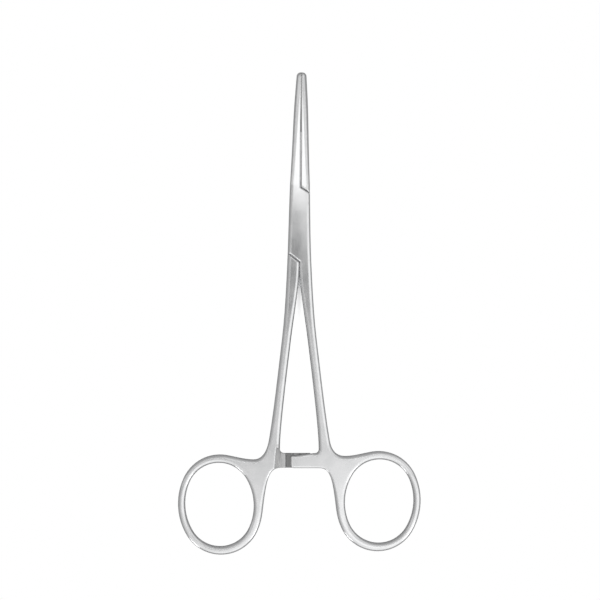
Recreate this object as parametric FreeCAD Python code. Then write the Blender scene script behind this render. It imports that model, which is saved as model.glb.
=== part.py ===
import FreeCAD, Part
import math
import os

from FreeCAD import Rotation, Vector

# A straight, ring-handled artery forceps of the box-lock kind, closed, lying on its back.
# It is drawn about the middle of its pin: +Y runs to the jaw tips, +X to the right ring,
# +Z up through the box. The last step moves it so that the origin is at the middle of the
# bottom of its bounding box. Lengths are millimetres, angles degrees.

# Lengths along the instrument: jaws and shanks from the pin, the rest from the shank's foot
jaw_reach = 44.1
jaw_root = 11.4
shank_root = 11.05
shank_foot = 62.7
foot_to_web = 2.2
foot_to_arm = 3.8
foot_to_ring = 17.7
ring_drop = 1.0
jaw_lean = 0.87

# Box lock
box_width = 6.42
jaw_root_width = 5.74
jaw_root_radius = 0.8
box_thickness = 4.6
box_flat = 3.5
crown_to_jaw = 1.5
crown_to_shank = 0.7
waist_thickness = 1.7
slot_clearance = 0.05
opening_angle = 60.0
upper_step = 10.83
upper_step_angle = 32.5
lower_step = 11.05
lower_step_angle = 37.9
step_gap = 0.25
jaw_shoulder_bevel = 0.5
wall_bevel = 0.45
shank_shoulder_bevel = 0.25

# Pin, riveted over in both walls and ground flush
pin_radius = 1.25
pin_head_radius = 1.6
pin_head_depth = 0.4
pin_clearance = 0.04

# Jaws: width, thickness and corner radius at shares of the way from the root to the tip
jaw_form = (
    (0.25, 5.02, 3.96, 1.00),
    (0.47, 4.54, 3.57, 1.15),
    (0.75, 3.80, 3.08, 1.30),
    (0.94, 2.98, 2.74, 1.28),
    (1.00, 2.72, 2.62, 1.24),
)
nose_radius = 1.15
jaw_gap = 0.3
meeting_offset = 0.25
serration_start = 27.0
serration_pitch = 0.8
serration_depth = 0.25
mesh_gap = 0.08

# Shanks: widths at root, middle and foot, and how far their middle line has spread by then
shank_gap = 0.1
shank_root_width = 3.43
shank_middle = 33.7
shank_middle_width = 2.62
shank_middle_spread = 3.76
shank_foot_width = 3.06
shank_foot_spread = 7.3
notch_width = 4.5
notch_depth = 1.45
limb_upper_pull = 9.5
limb_lower_pull = 3.25
handle_thickness = 3.0
edge_radius = 0.9
crotch_radius = 0.55
web_thickness = 1.7
web_reach = 18.3
web_gap = 0.12

# Finger rings: hole half sizes, wall of the ring on four sides, place and lean
hole_half_width = 9.96
hole_half_length = 12.15
ring_spread = 23.2
ring_outer_wall = 2.05
ring_inner_wall = 2.65
ring_end_wall = 2.35
ring_end_radius = 9.25
ring_lean = 3.25
ring_join_angle = 12.8
limb_join_angle = 9.7

# Ratchet arms, with the teeth between them
arm_height = 4.25
front_arm_reach = 2.47
rear_arm_reach = 3.4
front_arm_taper = 0.65
arm_edge_radius = 0.45
arm_root = 5.65
arm_root_radius = 1.2
arm_tip_radius = 0.9
tooth_count = 3
tooth_pitch = 1.9
tooth_depth = 0.5
tooth_relief = 0.05
tooth_slack = 0.15
first_tooth = 1.9
ridge_top = 6.85
ridge_lean = 5.0
ledge_outer = 5.15
ledge_inner = 3.9

far = 60.0
web_start = shank_foot + foot_to_web
arm_top = shank_foot + foot_to_arm
arm_bottom = arm_top + arm_height
ring_reach = shank_foot + foot_to_ring
lean_slope = math.tan(math.radians(jaw_lean))
half_box = box_thickness / 2
half_handle = handle_thickness / 2
half_slot = waist_thickness / 2 + slot_clearance


def flat(x, y):
    return Vector(x, y, 0)


def line(start, end):
    return Part.makeLine(start, end)


def arc(centre, radius, start, end):
    points = []
    for angle in (start, (start + end) / 2, end):
        turn = math.radians(angle)
        points.append(centre + Vector(radius * math.cos(turn), radius * math.sin(turn), 0))
    return Part.Arc(*points).toShape()


def bend(start, away, end, arriving, pull):
    """A smooth edge that leaves start along one direction and arrives at end along another."""
    curve = Part.BezierCurve()
    leave = Vector(away).normalize() * pull[0]
    arrive = Vector(arriving).normalize() * pull[1]
    curve.setPoles([start, start + leave, end - arrive, end])
    return curve.toShape()


def polygon(corners):
    return Part.Face(Part.makePolygon(corners + corners[:1]))


def plan_prism(corners, half_height=far):
    """A plan outline given as (x, y) pairs, thickened equally above and below the middle."""
    face = polygon([Vector(x, y, -half_height) for x, y in corners])
    return face.extrude(Vector(0, 0, 2 * half_height))


def whole_from_top(top):
    """The full thickness from its upper half."""
    return top.fuse(top.mirror(Vector(0, 0, 0), Vector(0, 0, 1))).removeSplitter()


def oval(centre, half_width, half_length, end_radius, start=None, end=None):
    """Arcs of a leaning oval, clockwise from the top: four of them, or from start to end."""
    side_radius = (half_width**2 + half_length**2 - 2 * half_length * end_radius) / 2 / (half_width - end_radius)
    end_offset = half_length - end_radius
    side_offset = side_radius - half_width
    join = math.degrees(math.atan2(end_offset, side_offset))
    first = 90 if start is None else start
    spans = [
        (flat(0, end_offset), end_radius, first, join),
        (flat(-side_offset, 0), side_radius, join, -join),
        (flat(0, -end_offset), end_radius, -join, join - 180),
        (flat(side_offset, 0), side_radius, join - 180, -180 - join if end is None else end),
    ]
    if end is None:
        spans.append((flat(0, end_offset), end_radius, 180 - join, first))
    lean = Rotation(Vector(0, 0, 1), -ring_lean)
    edges = []
    for offset, radius, begin, stop in spans:
        edges.append(arc(centre + lean.multVec(offset), radius, begin - ring_lean, stop - ring_lean))
    return edges


def handle_outline(lean_side, drop, arm_reach, arm_taper):
    """Outline of a right-hand handle: half box, shank, web, ring and ratchet arm."""
    ring_centre = flat(ring_spread, -ring_reach - drop)
    outer_centre = ring_centre + flat((ring_outer_wall - ring_inner_wall) / 2, 0)
    outer_half_width = hole_half_width + (ring_outer_wall + ring_inner_wall) / 2
    outer_half_length = hole_half_length + ring_end_wall
    outer_end_radius = ring_end_radius + ring_end_wall
    ring_edges = oval(
        outer_centre,
        outer_half_width,
        outer_half_length,
        outer_end_radius,
        90 + ring_join_angle,
        limb_join_angle - 180,
    )
    ring_first = ring_edges[0].valueAt(ring_edges[0].FirstParameter)
    ring_last = ring_edges[-1].valueAt(ring_edges[-1].LastParameter)
    first_turn = math.radians(ring_join_angle - ring_lean)
    last_turn = math.radians(limb_join_angle - ring_lean)
    into_ring = flat(math.cos(first_turn), math.sin(first_turn))
    out_of_ring = flat(math.sin(last_turn) * -1, math.cos(last_turn))
    ring_top = outer_centre.y + outer_half_length

    box_side = flat(jaw_root_width / 2 + lean_side * lean_slope * jaw_root, jaw_root)
    root_outer = flat(shank_gap / 2 + shank_root_width, -shank_root)
    root_inner = flat(shank_gap / 2, -shank_root)
    middle_outer = flat(shank_middle_spread + shank_middle_width / 2, -shank_middle)
    middle_inner = flat(shank_middle_spread - shank_middle_width / 2, -shank_middle)
    foot_outer = flat(shank_foot_spread + shank_foot_width / 2, -shank_foot)
    notch = flat(foot_outer.x + notch_width, ring_top - notch_depth)
    arm_start = flat(arm_root, -arm_bottom)
    arm_corner = flat(arm_root, -arm_top + arm_root_radius)

    down = flat(0, -1)
    inward = flat(-1, 0)
    root_slope = flat(0.045, -1)
    middle_slope = flat(0.12, -1)
    foot_slope = flat(0.17, -1)
    upper_reach = shank_middle - shank_root
    lower_reach = shank_foot - shank_middle
    tip_x = -arm_reach
    tip_top = -arm_top - arm_taper
    upper_tip_radius = arm_tip_radius * 0.6
    upper_tip = flat(tip_x + upper_tip_radius, tip_top)
    edges = [
        bend(box_side, flat(box_width / 2, 0) - box_side, root_outer, root_slope, (jaw_root * 0.6, shank_root * 0.6)),
        bend(root_outer, root_slope, middle_outer, middle_slope, (upper_reach / 3, upper_reach / 3)),
        bend(middle_outer, middle_slope, foot_outer, foot_slope, (lower_reach / 3, lower_reach * 0.3)),
        bend(foot_outer, foot_slope, notch, flat(1, 0), (notch_width * 0.64, notch_width * 0.62)),
        bend(notch, flat(1, 0), ring_first, into_ring, (notch_width * 0.56, notch_width * 0.56)),
        *ring_edges,
        bend(ring_last, out_of_ring, arm_start, inward, (limb_upper_pull, limb_lower_pull)),
        line(arm_start, flat(tip_x + arm_tip_radius, -arm_bottom)),
        arc(flat(tip_x + arm_tip_radius, -arm_bottom + arm_tip_radius), arm_tip_radius, 270, 180),
        line(flat(tip_x, -arm_bottom + arm_tip_radius), flat(tip_x, tip_top - upper_tip_radius)),
        arc(flat(tip_x + upper_tip_radius, tip_top - upper_tip_radius), upper_tip_radius, 180, 90),
        bend(upper_tip, flat(1, 0), flat(arm_root - arm_root_radius, -arm_top), flat(1, 0), (arm_reach, arm_reach)),
        arc(flat(arm_root - arm_root_radius, arm_corner.y), arm_root_radius, -90, 0),
        bend(middle_inner, middle_slope, arm_corner, down, (lower_reach / 3, lower_reach / 5)),
        bend(root_inner, down, middle_inner, middle_slope, (upper_reach / 3, upper_reach / 3)),
        line(root_inner, flat(root_inner.x, jaw_root)),
        line(flat(root_inner.x, jaw_root), box_side),
    ]
    return edges, ring_centre


def crown(direction, length, slope):
    """Ends of a shallow arc that leaves the flat of the box and falls to the given slope."""
    turn = math.radians(slope)
    radius = length / math.sin(turn)
    middle = turn / 2
    points = []
    for angle in (0, middle, turn):
        y = direction * (box_flat + radius * math.sin(angle))
        points.append(Vector(-far, y, half_box - radius * (1 - math.cos(angle))))
    return points


def side_envelope():
    """Everything under the upper side profile: crowned box, tapering shanks, flat rings."""

    def point(y, z):
        return Vector(-far, y, z)

    to_jaw = crown(1, jaw_root - box_flat, crown_to_jaw)
    to_shank = crown(-1, shank_root - box_flat, crown_to_shank)
    shank_slope = Vector(0, -1, -math.tan(math.radians(crown_to_shank)))
    bottom = -ring_reach - far
    foot = point(-web_start, half_handle)
    reach = web_start - shank_root
    edges = [
        line(point(far, to_jaw[2].z), to_jaw[2]),
        Part.Arc(*reversed(to_jaw)).toShape(),
        line(to_jaw[0], to_shank[0]),
        Part.Arc(*to_shank).toShape(),
        bend(to_shank[2], shank_slope, foot, Vector(0, -1, 0), (reach / 2, reach / 3)),
        line(foot, point(bottom, half_handle)),
        line(point(bottom, half_handle), point(bottom, -1)),
        line(point(bottom, -1), point(far, -1)),
        line(point(far, -1), point(far, to_jaw[2].z)),
    ]
    return Part.Face(Part.Wire(edges)).extrude(Vector(2 * far, 0, 0))


def rounded(body, edges_with_radii):
    """Rounds edges with a radius of their own at each end, so that one runs into the next."""
    work = FreeCAD.newDocument("rounding")
    base = work.addObject("Part::Feature", "base")
    base.Shape = body
    rounding = work.addObject("Part::Fillet", "rounding")
    rounding.Base = base
    rounding.Edges = edges_with_radii
    work.recompute()
    result = rounding.Shape.copy()
    FreeCAD.closeDocument(work.Name)
    return result


def upper_edge_radius(point):
    """Radius of the rounded upper edge at a place on the handle's outline."""
    on_arm = point.x < arm_root + 0.5 and point.y < -arm_top + arm_root_radius / 2
    if on_arm:
        return arm_edge_radius
    on_inner_side = point.x < 1 and point.y > -web_reach
    return crotch_radius if on_inner_side else edge_radius


def handle(lean_side, drop, arm_reach, arm_taper):
    """One right-hand handle with its half of the box, edges rounded, full thickness."""
    edges, ring_centre = handle_outline(lean_side, drop, arm_reach, arm_taper)
    hole = oval(ring_centre, hole_half_width, hole_half_length, ring_end_radius)
    plan = Part.Face(Part.Wire(edges)).cut(Part.Face(Part.Wire(hole)))
    slab = plan.Faces[0].extrude(Vector(0, 0, box_thickness))
    top = slab.common(side_envelope()).Solids[0]
    edges_with_radii = []
    for number, edge in enumerate(top.Edges, 1):
        box = edge.BoundBox
        is_upper = box.ZMin > half_handle / 2
        runs_across = box.YLength < 0.001 and box.XLength > 1 and box.YMin > -web_start - 0.01
        crosses_web = runs_across or (box.YLength < 0.001 and abs(box.YMin + web_start) < 0.001)
        if is_upper and not crosses_web:
            first = upper_edge_radius(edge.valueAt(edge.FirstParameter))
            last = upper_edge_radius(edge.valueAt(edge.LastParameter))
            edges_with_radii.append((number, first, last))
    return whole_from_top(rounded(top, edges_with_radii))


def section(y, width, thickness, radius):
    """A rounded rectangle across the jaws at distance y from the pin."""
    middle = lean_slope * y
    w = width / 2
    t = thickness / 2
    corner_cut = radius * (1 - math.sqrt(0.5))

    def point(x, z):
        return Vector(middle + x, y, z)

    edges = []
    for x_side, z_side in ((1, 1), (-1, 1), (-1, -1), (1, -1)):
        on_side = point(x_side * w, z_side * (t - radius))
        on_face = point(x_side * (w - radius), z_side * t)
        middle_point = point(x_side * (w - corner_cut), z_side * (t - corner_cut))
        ends = (on_side, on_face) if x_side * z_side > 0 else (on_face, on_side)
        edges.append(Part.Arc(ends[0], middle_point, ends[1]).toShape())
    joined = []
    for edge, following in zip(edges, edges[1:] + edges[:1]):
        joined.append(edge)
        joined.append(line(edge.valueAt(edge.LastParameter), following.valueAt(following.FirstParameter)))
    return Part.Wire(joined)


def jaw_blank():
    """Both jaws as one tapering bar with a rounded nose."""
    length = jaw_reach - jaw_root
    root_thickness = 2 * crown(1, jaw_root - box_flat, crown_to_jaw)[2].z
    sections = [section(jaw_root, jaw_root_width, root_thickness, jaw_root_radius)]
    for share, width, thickness, radius in jaw_form:
        sections.append(section(jaw_root + share * length, width, thickness, radius))
    bar = Part.makeLoft(sections, True, False)
    nose = [edge for edge in bar.Edges if edge.BoundBox.YMin > jaw_reach - 0.01]
    return bar.makeFillet(nose_radius, nose)


def meeting_x(y):
    """Where the jaws meet, at distance y from the pin."""
    return meeting_offset + (lean_slope * jaw_reach - meeting_offset) * y / jaw_reach


def step_y(x, reach, angle, gap):
    """Height of a step line at x, moved along the instrument by gap."""
    return reach + gap / math.cos(math.radians(angle)) - x * math.tan(math.radians(angle))


def jaw_side(sign):
    """Plan region of the through half's jaw: sign 1 inside its faces, -1 out to the box half's."""
    smooth = sign * jaw_gap / 2
    meshed = sign * mesh_gap / 2
    corner_x = meeting_x(upper_step) + smooth
    step_shift = sign * step_gap / 2
    corners = [(corner_x, step_y(corner_x, upper_step, upper_step_angle, step_shift))]
    corners.append((meeting_x(serration_start) + smooth, serration_start))
    count = int((jaw_reach + 1 - serration_start) / serration_pitch)
    for tooth in range(count + 1):
        root_y = serration_start + tooth * serration_pitch
        crest_y = root_y + serration_pitch / 2
        corners.append((meeting_x(root_y) - serration_depth / 2 + meshed, root_y + 0.05))
        corners.append((meeting_x(crest_y) + serration_depth / 2 + meshed, crest_y))
    corners.append((far, corners[-1][1]))
    corners.append((far, step_y(far, upper_step, upper_step_angle, step_shift)))
    return plan_prism(corners)


def below_step(sign):
    """Plan region below the lower step: sign 1 on the shank's side of the gap, -1 on the wall's."""

    def edge_y(x):
        return step_y(x, -lower_step, lower_step_angle, -sign * step_gap / 2)

    return plan_prism([(-far, edge_y(-far)), (far, edge_y(far)), (far, -2 * far), (-far, -2 * far)])


def step_bevel(reach, angle, shift, from_x, to_x, into, size):
    """Wedges that break the edges along a step, from x to x; into is 1 if the metal lies above it."""
    turn = math.radians(angle)
    inwards = Vector(math.sin(turn), math.cos(turn), 0) * into
    start = Vector(from_x, step_y(from_x, reach, angle, shift), 0)
    end = Vector(to_x, step_y(to_x, reach, angle, shift), 0)
    spare = 0.05
    corners = []
    for inside, height in (
        (-spare, half_box - size - spare),
        (size + spare, half_box + spare),
        (-spare, half_box + spare),
    ):
        corners.append(start + inwards * inside + Vector(0, 0, height))
    wedge = polygon(corners).extrude(end - start)
    return [wedge, wedge.mirror(Vector(0, 0, 0), Vector(0, 0, 1))]


def ratchet_cut(arm_reach, shift):
    """What is cut away behind the front arm: saw teeth, a valley, a ledge and a long slope."""
    crest_z = mesh_gap / 2
    root_z = crest_z + tooth_depth
    back = -half_handle - 1
    rise = tooth_depth / (tooth_pitch - tooth_relief)
    first = -first_tooth - shift
    tip = -arm_reach - 1
    profile = [(tip, back), (tip, crest_z + rise * (first - tip))]
    for tooth in range(tooth_count):
        crest_x = first + tooth * tooth_pitch
        profile.append((crest_x, crest_z))
        profile.append((crest_x + tooth_relief, root_z))
    profile += [(ledge_inner, root_z), (ledge_inner, crest_z), (ledge_outer, crest_z), (ledge_outer, back)]
    top_y = -web_start
    length = arm_bottom - web_start + 2
    teeth = polygon([Vector(x, top_y, z) for x, z in profile]).extrude(Vector(0, -length, 0))
    slope = (ridge_top - ledge_outer) / (half_handle + crest_z)
    corners = [
        Vector(ledge_inner + 0.2, top_y, crest_z),
        Vector(ledge_outer, top_y, crest_z),
        Vector(ledge_outer + slope * (crest_z - back), top_y, back),
        Vector(ledge_inner + 0.2, top_y, back),
    ]
    leaning = Vector(math.tan(math.radians(ridge_lean)) * length, -length, 0)
    return teeth.fuse(polygon(corners).extrude(leaning))


def slot_plan(disc_radius, jaw_face, shank_face, top_y):
    """Plan of the slot or of the waist in it: a disc with an arm to the jaw and one to the shank."""
    disc = Part.makeCylinder(disc_radius, 2 * far, Vector(0, 0, -far))
    to_jaw = plan_prism([
        (meeting_x(0) + jaw_face, 0),
        (meeting_x(top_y) + jaw_face, top_y),
        (far, top_y),
        (far, 0),
    ])
    to_shank = plan_prism([(shank_face, 0), (shank_face, -shank_root - 2), (-far, -shank_root - 2), (-far, 0)])
    return disc.multiFuse([to_jaw, to_shank])


def layer(thickness):
    """The middle of the thickness, everywhere in plan."""
    return Part.makeBox(4 * far, 4 * far, thickness, Vector(-2 * far, -2 * far, -thickness / 2))


def pin_shape(clearance=0):
    """The pin with its two countersunk heads, or its plain bore if a clearance is given."""
    if clearance:
        return Part.makeCylinder(pin_radius + clearance, box_thickness, Vector(0, 0, -half_box))
    corners = [
        (0, half_box),
        (pin_head_radius, half_box),
        (pin_radius, half_box - pin_head_depth),
        (pin_radius, -half_box + pin_head_depth),
        (pin_head_radius, -half_box),
        (0, -half_box),
    ]
    profile = polygon([Vector(x, 0, z) for x, z in corners])
    return profile.revolve(Vector(0, 0, 0), Vector(0, 0, 1), 360)


def build():
    right = handle(1, 0, front_arm_reach, front_arm_taper).cut(ratchet_cut(front_arm_reach, 0))
    left = handle(-1, ring_drop, rear_arm_reach, 0).cut(ratchet_cut(rear_arm_reach, tooth_slack))
    left.rotate(Vector(0, 0, 0), Vector(0, 1, 0), 180)
    jaws = jaw_blank()
    core_bottom = -shank_root - 1.5
    core_half_width = edge_radius + 0.7
    core_corner = Vector(-core_half_width, core_bottom, 0)
    core = Part.makeBox(2 * core_half_width, jaw_root - core_bottom, box_thickness, core_corner)
    core = whole_from_top(core.common(side_envelope()))

    disc_radius = box_width / 2 / math.cos(math.radians(opening_angle / 2)) + 0.2
    slot = slot_plan(disc_radius, -jaw_gap / 2, shank_gap / 2, upper_step + 1).common(layer(2 * half_slot))
    wall_side = left.fuse(core).cut(below_step(-1))
    web_corner = Vector(-core_half_width, -web_reach, -waist_thickness / 2)
    web = Part.makeBox(2 * core_half_width, web_reach - shank_root, waist_thickness, web_corner)
    other_shank = left.translated(Vector(web_gap, 0, 0))
    box_half = right.multiFuse([wall_side, jaws]).cut(jaw_side(-1)).cut(slot)
    box_half = box_half.fuse(web.cut(other_shank))
    wall_edge = step_bevel(-lower_step, lower_step_angle, step_gap / 2, -box_width, step_gap, 1, wall_bevel)
    box_half = box_half.cut(wall_edge).cut(pin_shape())

    jaw = right.multiFuse([core, jaws]).common(jaw_side(1))
    jaw = jaw.cut(step_bevel(upper_step, upper_step_angle, step_gap / 2, -jaw_gap, box_width, 1, jaw_shoulder_bevel))
    shank = left.common(below_step(1))
    shoulder = step_bevel(-lower_step, lower_step_angle, -step_gap / 2, -box_width, 1, -1, shank_shoulder_bevel)
    shank = shank.cut(shoulder)
    waist = slot_plan(disc_radius - 0.08, jaw_gap / 2, -shank_gap / 2, jaw_root).common(layer(waist_thickness))
    box_body = left.multiFuse([right, core])
    waist = waist.common(box_body)
    through_half = waist.multiFuse([jaw, shank]).cut(pin_shape(pin_clearance))
    return {
        "box_half": box_half.removeSplitter(),
        "through_half": through_half.removeSplitter(),
        "pivot_pin": pin_shape(),
    }


def main():
    shapes = build()
    box = Part.makeCompound(list(shapes.values())).optimalBoundingBox()
    shift = Vector(-(box.XMin + box.XMax) / 2, -(box.YMin + box.YMax) / 2, -box.ZMin)
    os.makedirs("parts", exist_ok=True)
    for name, shape in shapes.items():
        shape.translate(shift)
        shape.exportStep("parts/" + name + ".step")
        print(name, shape.isValid(), len(shape.Solids), len(shape.Faces), round(shape.Volume, 1))
    print("size", round(box.XLength, 3), round(box.YLength, 3), round(box.ZLength, 3))
    print("pin at", round(shift.x, 3), round(shift.y, 3), round(shift.z + 0, 3))


main()
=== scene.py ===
import bpy
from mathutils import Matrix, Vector

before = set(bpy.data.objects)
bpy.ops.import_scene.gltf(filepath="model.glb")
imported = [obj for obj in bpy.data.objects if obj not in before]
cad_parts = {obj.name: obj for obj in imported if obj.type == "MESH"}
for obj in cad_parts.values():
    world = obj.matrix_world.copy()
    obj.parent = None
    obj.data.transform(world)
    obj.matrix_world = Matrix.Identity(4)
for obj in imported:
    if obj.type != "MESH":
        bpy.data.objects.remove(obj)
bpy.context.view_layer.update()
print("forceps loaded:", ", ".join(sorted(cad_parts)))


# A number in a node tree: each operator adds its own Math node
class Value:
    def __init__(self, tree, socket):
        self.tree = tree
        self.socket = socket

    def maths(self, operation, *others, first=None):
        node = self.tree.nodes.new("ShaderNodeMath")
        node.operation = operation
        operands = [self if first is None else first, *others]
        for place, operand in enumerate(operands):
            if isinstance(operand, Value):
                self.tree.links.new(operand.socket, node.inputs[place])
            else:
                node.inputs[place].default_value = operand
        return Value(self.tree, node.outputs[0])

    def __add__(self, other):
        return self.maths("ADD", other)

    __radd__ = __add__

    def __mul__(self, other):
        return self.maths("MULTIPLY", other)

    __rmul__ = __mul__

    def __sub__(self, other):
        return self.maths("SUBTRACT", other)

    def __rsub__(self, other):
        return self.maths("SUBTRACT", self, first=other)

    def __truediv__(self, other):
        return self.maths("DIVIDE", other)

    def __rtruediv__(self, other):
        return self.maths("DIVIDE", self, first=other)

    def __pow__(self, other):
        return self.maths("POWER", other)

    def __rpow__(self, other):
        return self.maths("POWER", self, first=other)

    def clamped(self):
        return self.maths("MINIMUM", 1.0).maths("MAXIMUM", 0.0)

    # 0 at the first value, 1 at the second, with soft ends
    def between(self, start, end):
        share = ((self - start) / (end - start)).clamped()
        return share * share * (3 - 2 * share)

    # 1 from the first value to the second, falling to 0 outside them
    def inside(self, low, high, fade):
        return self.between(low - fade, low) * (1 - self.between(high, high + fade))


# The nodes of one material or world, with one method that adds any of them
class Shades:
    def __init__(self, owner):
        owner.use_nodes = True
        self.tree = owner.node_tree
        self.tree.nodes.clear()

    def node(self, kind, settings=None, sockets=None, outs=(0,)):
        node = self.tree.nodes.new(kind)
        for name, value in (settings or {}).items():
            setattr(node, name, value)
        for name, value in (sockets or {}).items():
            if isinstance(value, Value):
                self.tree.links.new(value.socket, node.inputs[name])
            else:
                node.inputs[name].default_value = value
        values = [Value(self.tree, node.outputs[name]) for name in outs]
        return values[0] if len(values) == 1 else values


satinSteel = {
    "colour": (0.79, 0.795, 0.80, 1),
    "polishedColour": (0.86, 0.86, 0.865, 1),
    "roughness": 0.14,
    "cloudScale": 260,          # soft patches left by the polishing wheel
    "cloudDetail": 4.0,
    "cloudBreakup": 0.6,
    "cloudTint": (0.3, 0.8),    # over this part of the patches the colour turns to the polished one
    "cloudSpread": 0.04,        # roughness change over the patches
    "grainAlong": 300,          # brushing lines per metre along the instrument
    "grainAcross": 6000,        # and across it
    "grainDetail": 3.0,
    "grainSpread": 0.05,        # roughness change over the lines
    "grainDepth": 0.0000005,
    "pitScale": 9000,
    "pitDetail": 2.0,
    "pitDepth": 0.0000003,
    "noiseMiddle": 0.5,         # patches and lines change the roughness both ways from here
    "softEdge": 0.0005,         # how far polishing has rounded the edges
    "softEdgeSamples": 6,
}

# The hinge box is crowned. Its faces fold at two places along it, which polishing has blended,
# and fall away to both sides.
boxCrown = {
    "pivot": 0.025898,          # the pin's place along the instrument, and distances are from it
    "folds": {0.0035: 0.0066, -0.0035: 0.0052},     # where each fold is, and how much the slope changes
    "blend": 0.0033,            # reach of a fold's blend to either side
    "crownWidth": 0.0035,
    "crownHeight": 0.00008,
    "crownFrom": (-0.015, -0.006),
    "pin": (0.0018, 0.0021),    # the pin's rim stays sharp, and edges soften beyond it
}

# Zones painted in a grey of their own and made rougher. The ratchet's teeth, slope, valley and ledge and
# the rear arm's edge are painted shade between the arms, and the front arm's end is a painted highlight.
# The biting faces are milled, greyer steel, painted darker still as shade in the gap between the jaws,
# less so towards the tip. The ratchet's zones start at a height, and the two parts of the biting faces
# blend into each other.
paintedLightAndMilledZones = {
    # Painted shade in the ratchet, between the overlapping arms, down to the rear arm's edge
    "teeth": {
        "across": (-0.0040, -0.0023), "along": (-0.0450, -0.0389), "above": 0.0014,
        "fade": 0.0002, "grey": 0.25, "rough": 0.05,
    },
    "slope": {
        "across": (-0.0066, -0.0057), "along": (-0.0450, -0.0380), "above": 0.0014,
        "fade": 0.0003, "grey": 0.72, "rough": 0.30,
    },
    "valley": {
        "across": (-0.0056, -0.0050), "along": (-0.0450, -0.0380), "above": 0.0014,
        "fade": 0.0001, "grey": 0.50, "rough": 0.20,
    },
    "ledge": {
        "across": (-0.0049, -0.0041), "along": (-0.0450, -0.0380), "above": 0.0014,
        "fade": 0.0001, "grey": 0.58, "rough": 0.10,
    },
    "rearArm": {
        "across": (-0.0022, 0.0080), "along": (-0.0420, -0.0380), "above": 0.0014,
        "fade": 0.0002, "grey": 0.35, "rough": 0.15,
    },
    # Painted highlight: the front arm's end, painted lighter than the steel around it
    "armEnd": {
        "across": (-0.0026, -0.0019), "along": (-0.0450, -0.0411), "above": 0.0014,
        "fade": 0.0001, "grey": 0.95, "rough": 0.05,
    },
    # Milled biting faces: greyer steel, painted darker still as shade in the gap between the jaws, less
    # so towards the tip
    "bite": {
        "across": (0.00026, 0.00064), "along": (0.0369, 0.0540), "blend": (0.00006, 0.0120),
        "fade": 0.00006, "grey": 0.34, "rough": 0.10,
    },
    "biteTip": {
        "across": (0.00034, 0.00060), "along": (0.0660, 0.0745), "blend": (0.0120, 0.00006),
        "fade": 0.00006, "grey": 0.74, "rough": 0.10,
    },
}


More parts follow.
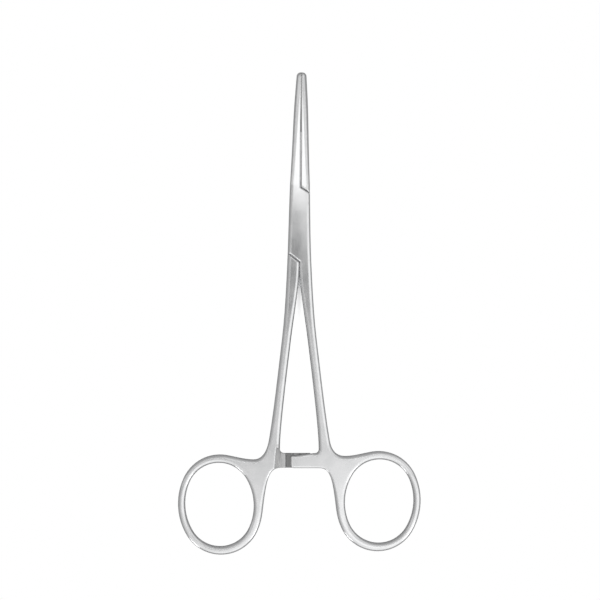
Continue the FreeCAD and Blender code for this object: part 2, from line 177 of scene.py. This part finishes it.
def makeSteel(name, colour, grainTurn, paintedLightAndMilled):
    material = bpy.data.materials.new(name)
    steel = Shades(material)
    place = steel.node("ShaderNodeTexCoord", outs=("Object",))
    across, along, height = steel.node(
        "ShaderNodeSeparateXYZ", sockets={0: place}, outs=("X", "Y", "Z")
    )

    # Brushing lines, polishing clouds and pits
    turned = steel.node("ShaderNodeMapping", sockets={"Vector": place, "Rotation": (0, 0, grainTurn)})
    lines = (satinSteel["grainAcross"], satinSteel["grainAlong"], satinSteel["grainAcross"])
    stretched = steel.node("ShaderNodeMapping", sockets={"Vector": turned, "Scale": lines})
    grain = steel.node(
        "ShaderNodeTexNoise",
        sockets={"Vector": stretched, "Scale": 1.0, "Detail": satinSteel["grainDetail"]},
    )
    clouds = steel.node(
        "ShaderNodeTexNoise",
        sockets={
            "Vector": place, "Scale": satinSteel["cloudScale"],
            "Detail": satinSteel["cloudDetail"], "Roughness": satinSteel["cloudBreakup"],
        },
    )
    pits = steel.node(
        "ShaderNodeTexNoise",
        sockets={"Vector": place, "Scale": satinSteel["pitScale"], "Detail": satinSteel["pitDetail"]},
    )
    relief = grain * satinSteel["grainDepth"] + pits * satinSteel["pitDepth"]

    # The box's blended folds, each a parabola that turns the face half of the way on either side
    fromPivot = along - boxCrown["pivot"]
    for fold, turn in boxCrown["folds"].items():
        nearFold = (1 - (fromPivot - fold).maths("ABSOLUTE") / boxCrown["blend"]).clamped()
        relief = relief - nearFold ** 2 * (turn * boxCrown["blend"] / 4)
    crown = ((across / boxCrown["crownWidth"]) ** 2 * -1).maths("EXPONENT")
    crown = crown * fromPivot.between(*boxCrown["crownFrom"])
    relief = relief + crown * boxCrown["crownHeight"]

    # Softened edges, but not around the pin
    rounded = steel.node(
        "ShaderNodeBevel", {"samples": satinSteel["softEdgeSamples"]}, {"Radius": satinSteel["softEdge"]}
    )
    plain = steel.node("ShaderNodeNewGeometry", outs=("Normal",))
    offPin = (across ** 2 + fromPivot ** 2).maths("SQRT").between(*boxCrown["pin"])
    edges = steel.node(
        "ShaderNodeMix", {"data_type": "VECTOR"}, {"Factor": offPin, 4: plain, 5: rounded}, outs=(1,)
    )
    bump = steel.node(
        "ShaderNodeBump", sockets={"Height": relief, "Strength": 1.0, "Distance": 1.0, "Normal": edges}
    )

    # Roughness and colour
    rough = satinSteel["roughness"] + (clouds - satinSteel["noiseMiddle"]) * satinSteel["cloudSpread"]
    rough = rough + (grain - satinSteel["noiseMiddle"]) * satinSteel["grainSpread"]
    polished = clouds.between(*satinSteel["cloudTint"])
    colours = {"Factor": polished, 6: colour, 7: satinSteel["polishedColour"]}
    tint = steel.node("ShaderNodeMix", {"data_type": "RGBA"}, colours, outs=(2,))
    # Paint each zone's grey over the steel (painted shade, painted highlight, milled grey) and make it
    # rougher
    for zone in paintedLightAndMilled:
        paintedLightAndMilling = paintedLightAndMilledZones[zone]
        fade = paintedLightAndMilling["fade"]
        start, end = paintedLightAndMilling["along"]
        startBlend, endBlend = paintedLightAndMilling.get("blend", (fade, fade))
        paintedLightAndMillingMask = across.inside(*paintedLightAndMilling["across"], fade)
        paintedLightAndMillingMask = paintedLightAndMillingMask * along.between(start - startBlend, start) * (1 - along.between(end, end + endBlend))
        if "above" in paintedLightAndMilling:
            paintedLightAndMillingMask = paintedLightAndMillingMask * height.between(paintedLightAndMilling["above"], paintedLightAndMilling["above"] + fade)
        grey = (paintedLightAndMilling["grey"], paintedLightAndMilling["grey"], paintedLightAndMilling["grey"], 1)
        colours = {"Factor": paintedLightAndMillingMask, 6: tint, 7: grey}
        tint = steel.node("ShaderNodeMix", {"data_type": "RGBA"}, colours, outs=(2,))
        rough = rough + paintedLightAndMillingMask * paintedLightAndMilling["rough"]

    surface = steel.node(
        "ShaderNodeBsdfPrincipled",
        sockets={"Metallic": 1.0, "Roughness": rough, "Base Color": tint, "Normal": bump},
    )
    steel.node("ShaderNodeOutputMaterial", sockets={"Surface": surface}, outs=())
    return material


# The steel of each piece, with its zones of painted shade, painted highlight and milled grey; the pin
# was ground at an angle to the brushing
forgings = {
    "box_half": {
        "colour": satinSteel["colour"],
        "grainTurn": 0.0,
        "paintedLightAndMilled": ("bite", "biteTip", "armEnd"),
    },
    "through_half": {
        "colour": (0.78, 0.785, 0.79, 1),
        "grainTurn": 0.0,
        "paintedLightAndMilled": ("bite", "biteTip", "teeth", "slope", "valley", "ledge", "rearArm"),
    },
    "pivot_pin": {
        "colour": (0.80, 0.805, 0.81, 1),
        "grainTurn": 0.6,
        "paintedLightAndMilled": (),
    },
}
for piece, look in forgings.items():
    material = makeSteel(piece + "Steel", look["colour"], look["grainTurn"], look["paintedLightAndMilled"])
    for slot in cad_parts[piece].material_slots:
        slot.material = material
print("steel on", len(forgings), "pieces")


# White table for every view. The steel reflects it as a dimmer one, and narrow gaps over it are painted
# darker as painted shade.
table = {
    "size": 3.0,
    "clearance": 0.00005,               # keeps the table just clear of the steel's flat back
    "glow": (1.0, 1.0, 1.0, 1),
    # Painted shade: the table's colour where steel lies close over a gap
    "gapPaintedShade": (0.20, 0.20, 0.21, 1),
    "gapReach": 0.004,                  # how far away steel can darken a gap
    "gapOpenness": (0.05, 0.20),        # open sky over a gap that is dark, and over one that glows
    "gapSamples": 8,
    "reflected": (0.45, 0.45, 0.455, 1),
}
bpy.ops.mesh.primitive_plane_add(size=table["size"])
floor = bpy.context.object
floor.name = "paleTable"
floor.location.z = -table["clearance"]
tableTop = bpy.data.materials.new("paleTableTop")
top = Shades(tableTop)
openness = top.node(
    "ShaderNodeAmbientOcclusion",
    {"samples": table["gapSamples"]},
    {"Distance": table["gapReach"]},
    outs=("AO",),
)
# The table's white glow, with painted shade where steel is close over a gap
glow = top.node(
    "ShaderNodeMix",
    {"data_type": "RGBA"},
    {"Factor": openness.between(*table["gapOpenness"]), 6: table["gapPaintedShade"], 7: table["glow"]},
    outs=(2,),
)
seen = top.node("ShaderNodeEmission", sockets={"Color": glow, "Strength": 1.0})
mirrored = top.node("ShaderNodeBsdfDiffuse", sockets={"Color": table["reflected"]})
cameraRay = top.node("ShaderNodeLightPath", outs=("Is Camera Ray",))
either = top.node("ShaderNodeMixShader", sockets={"Fac": cameraRay, 1: mirrored, 2: seen})
top.node("ShaderNodeOutputMaterial", sockets={"Surface": either}, outs=())
floor.data.materials.append(tableTop)
print("table laid")

# Soft white tent, bright to the lower right. Panels lie over the jaws and the rings, and the camera
# looks through a dim opening between them.
tent = {
    "bright": 1.14,
    "dim": 0.46,
    "towardsRight": 0.75,   # where the bright side is: this far to the right
    "towardsRings": 0.65,   # and this far towards the rings
    "turnOver": 0.6,        # how gently the bright side becomes the dim one
    "horizon": 0.37,        # all round, just above the table
    "wallTop": 0.75,        # how high the walls reach before they are at their full light
    "panelTop": 0.5,        # and how high the panels do
}
panels = {
    "overJaws": {"light": 0.90, "at": (0.0, 0.125), "size": (0.10, 0.06)},
    "overRings": {"light": 0.60, "at": (0.05, -0.12), "size": (0.09, 0.045)},
    "leftOfTips": {"light": 0.40, "at": (-0.6, 0.21), "size": (0.5, 0.08)},
    "rightOfTips": {"light": -0.40, "at": (0.6, 0.21), "size": (0.5, 0.08)},
    "opening": {"light": -0.76, "at": (-0.018, -0.008), "size": (0.07, 0.07)},
}
room = bpy.data.worlds.new("softTent")
bpy.context.scene.world = room
sky = Shades(room)
direction = sky.node("ShaderNodeTexCoord", outs=("Generated",))
across, along, up = sky.node("ShaderNodeSeparateXYZ", sockets={0: direction}, outs=("X", "Y", "Z"))
lampSide = across * tent["towardsRight"] - along * tent["towardsRings"]
lampSide = lampSide.between(-tent["turnOver"], tent["turnOver"])
brightness = lampSide * (tent["bright"] - tent["dim"]) + tent["dim"]
brightness = tent["horizon"] + (brightness - tent["horizon"]) * up.between(0, tent["wallTop"])
for panel in panels.values():
    aside = (across - panel["at"][0]) / panel["size"][0]
    ahead = (along - panel["at"][1]) / panel["size"][1]
    panelGlow = ((aside ** 2 + ahead ** 2) * -1).maths("EXPONENT") * up.between(0, tent["panelTop"])
    brightness = brightness + panelGlow * panel["light"]
tentLight = sky.node("ShaderNodeBackground", sockets={"Color": (1, 1, 1, 1), "Strength": brightness})
sky.node("ShaderNodeOutputWorld", sockets={"Surface": tentLight}, outs=())

# A softbox for the lit edges, and a low one whose reflection lies in the bevel of the lower step
softboxes = {
    "keySoftbox": {"at": (0.5, -0.45, 0.45), "size": 0.3, "power": 0.3},
    "stepSoftbox": {"at": (-0.38, -0.49, 0.07), "size": 0.20, "power": 0.28},
}
for name, softbox in softboxes.items():
    lamp = bpy.data.lights.new(name, "AREA")
    lamp.shape = "DISK"
    lamp.size = softbox["size"]
    lamp.energy = softbox["power"]
    lampStand = bpy.data.objects.new(name, lamp)
    lampStand.location = softbox["at"]
    lampStand.rotation_euler = (-Vector(softbox["at"])).to_track_quat("-Z", "Y").to_euler()
    bpy.context.scene.collection.objects.link(lampStand)
print("studio lit")

# Camera straight above, as the photograph was taken
view = {
    "width": 0.174,                 # what the frame takes in
    "height": 0.6,                  # of the camera over the measured plane
    "centre": (0.0002, 0.0039),
    "plane": 0.0034,                # of the steel's upper side
    "sensor": 36,
}
camera = bpy.data.cameras.new("overheadCamera")
camera.sensor_width = view["sensor"]
camera.lens = camera.sensor_width * view["height"] / view["width"]
cameraStand = bpy.data.objects.new("overheadCamera", camera)
cameraStand.location = (*view["centre"], view["height"] + view["plane"])
bpy.context.scene.collection.objects.link(cameraStand)
bpy.context.scene.camera = cameraStand
bpy.context.scene.view_settings.view_transform = "Standard"
print("camera set")
